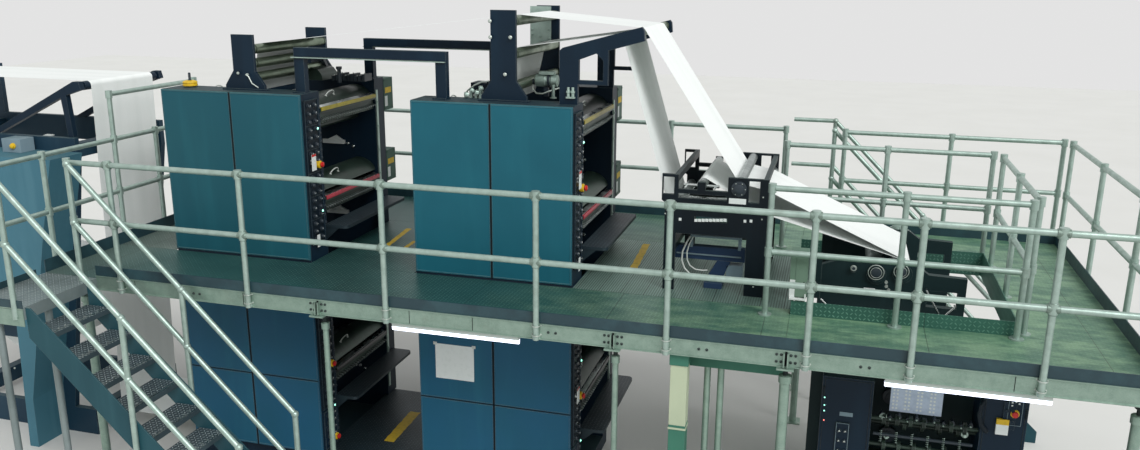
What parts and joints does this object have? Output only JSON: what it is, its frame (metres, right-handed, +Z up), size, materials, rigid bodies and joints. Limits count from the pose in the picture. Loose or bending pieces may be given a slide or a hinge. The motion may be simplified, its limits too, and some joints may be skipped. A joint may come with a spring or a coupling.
{
  "type": "web offset printing press",
  "caption": "Web offset press line: two four-high printing towers through a railed steel deck, reel stand, paper lead, turner frame and folder, stairs.",
  "frame": {"origin": "floor level under the second printing tower, midway between its side housings, on the underside of the tower bed", "axes": "+X along the press line from reel stand to folder, +Y from the stair side to the gear side, +Z up"},
  "size_m": [12.12, 5.4924, 4.68],
  "materials": {
    "cabinet_blue": "satin",
    "frame_navy": "satin",
    "panel_black": "matte",
    "roller_steel": "polished",
    "ink_metal": "worn",
    "galvanised": "galvanised",
    "deck_plate": "chequered",
    "edge_steel": "worn",
    "stair_teal": "satin",
    "tread_aluminium": "chequered",
    "turner_black": "satin",
    "stand_blue": "satin",
    "paper": "matte",
    "lamp": "gloss"
  },
  "bodies": {
    "root": {"tower_beds": "frame_navy", "lower_bay_floor": "frame_navy", "tower_1_housing": "frame_navy", "tower_2_housing": "frame_navy", "gear_frames": "frame_navy", "tower_doors": "cabinet_blue", "control_panels": "panel_black", "tower_1_cylinders": "roller_steel", "tower_2_cylinders": "roller_steel", "tower_1_ink_units": "ink_metal", "tower_2_ink_units": "ink_metal", "foot_boards": "frame_navy", "tower_1_brackets": "frame_navy", "tower_2_brackets": "frame_navy", "tie_beams": "frame_navy", "lead_arms": "frame_navy", "guide_rollers": "roller_steel", "front_deck": "deck_plate", "rear_deck": "deck_plate", "left_deck": "deck_plate", "tower_bay_deck": "deck_plate", "folder_bay_deck": "deck_plate", "right_deck": "deck_plate", "front_landing": "deck_plate", "rear_landing": "deck_plate", "front_edge": "edge_steel", "rear_edge": "edge_steel", "left_edge": "edge_steel", "right_edge": "edge_steel", "pit_edge": "edge_steel", "cross_beams": "edge_steel", "front_columns": "galvanised", "rear_columns": "galvanised", "front_rail": "galvanised", "left_rail": "galvanised", "rear_rail": "galvanised", "right_rail": "galvanised", "pit_front_rail": "galvanised", "pit_end_rail": "galvanised", "pit_rear_rail": "galvanised", "front_stair_stringers": "stair_teal", "front_stair_treads": "tread_aluminium", "front_stair_rails": "galvanised", "rear_stair_flight": "stair_teal", "rear_stair_rails": "galvanised", "turner_frame": "turner_black", "turner_rollers": "roller_steel", "former_board": "roller_steel", "folder_sides": "frame_navy", "folder_cylinders": "roller_steel", "folder_cabinets": "frame_navy", "folder_delivery": "ink_metal", "reel_stand": "stand_blue", "stand_cabinet": "stand_blue", "paper_reels": "paper", "infeed_arms": "frame_navy", "infeed_web": "paper", "lead_web": "paper", "folder_web": "paper", "light_tubes": "lamp"}
  },
  "joints": []
}
